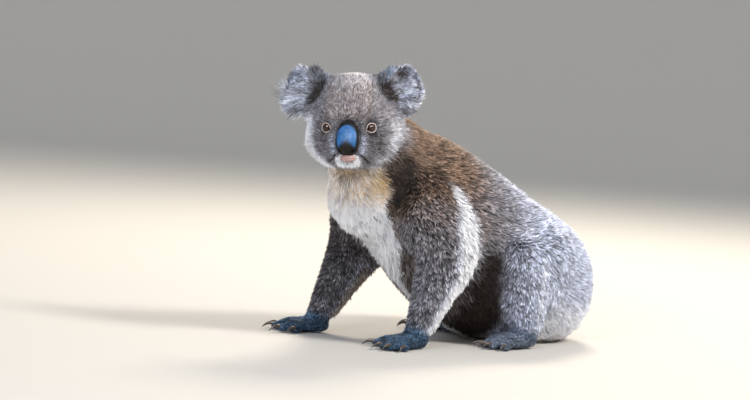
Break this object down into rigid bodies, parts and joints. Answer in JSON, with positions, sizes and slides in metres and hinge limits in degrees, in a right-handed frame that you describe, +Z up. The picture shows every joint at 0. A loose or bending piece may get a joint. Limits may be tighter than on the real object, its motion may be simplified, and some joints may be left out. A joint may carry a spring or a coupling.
{
  "type": "koala",
  "caption": "Life-size koala resting on its haunches with straight arms, head turned left, in a thick grey coat with a white chest and fringed round ears.",
  "frame": {"origin": "on the floor under the middle of the animal's box", "axes": "+Z up; the trunk faces -Y; +X is the animal's left side"},
  "size_m": [0.3204, 0.5692, 0.4414],
  "materials": {
    "fur_body": "thick grizzled grey-brown fur over grey skin",
    "fur_pale": "long pale fur with white fringes",
    "fur_paw": "short blue-grey fur",
    "eye": "wet brown eye under a clear cornea",
    "nose": "bare black skin with a fine pebbled grain",
    "claw": "dark polished horn"
  },
  "bodies": {
    "root": {"trunk": "fur_body", "neck": "fur_body", "head": "fur_body", "ear_left": "fur_pale", "upper_arm_left": "fur_body", "forearm_left": "fur_body", "thigh_left": "fur_body", "shank_left": "fur_body", "hand_left": "fur_paw", "foot_left": "fur_paw", "eye_left": "eye", "claw_hand_left_1": "claw", "claw_hand_left_2": "claw", "claw_hand_left_3": "claw", "claw_hand_left_4": "claw", "claw_hand_left_5": "claw", "claw_foot_left_2": "claw", "claw_foot_left_3": "claw", "claw_foot_left_4": "claw", "claw_foot_left_5": "claw", "ear_right": "fur_pale", "upper_arm_right": "fur_body", "forearm_right": "fur_body", "thigh_right": "fur_body", "shank_right": "fur_body", "hand_right": "fur_paw", "foot_right": "fur_paw", "eye_right": "eye", "claw_hand_right_1": "claw", "claw_hand_right_2": "claw", "claw_hand_right_3": "claw", "claw_hand_right_4": "claw", "claw_hand_right_5": "claw", "claw_foot_right_2": "claw", "claw_foot_right_3": "claw", "claw_foot_right_4": "claw", "claw_foot_right_5": "claw", "nose": "nose"}
  },
  "joints": []
}
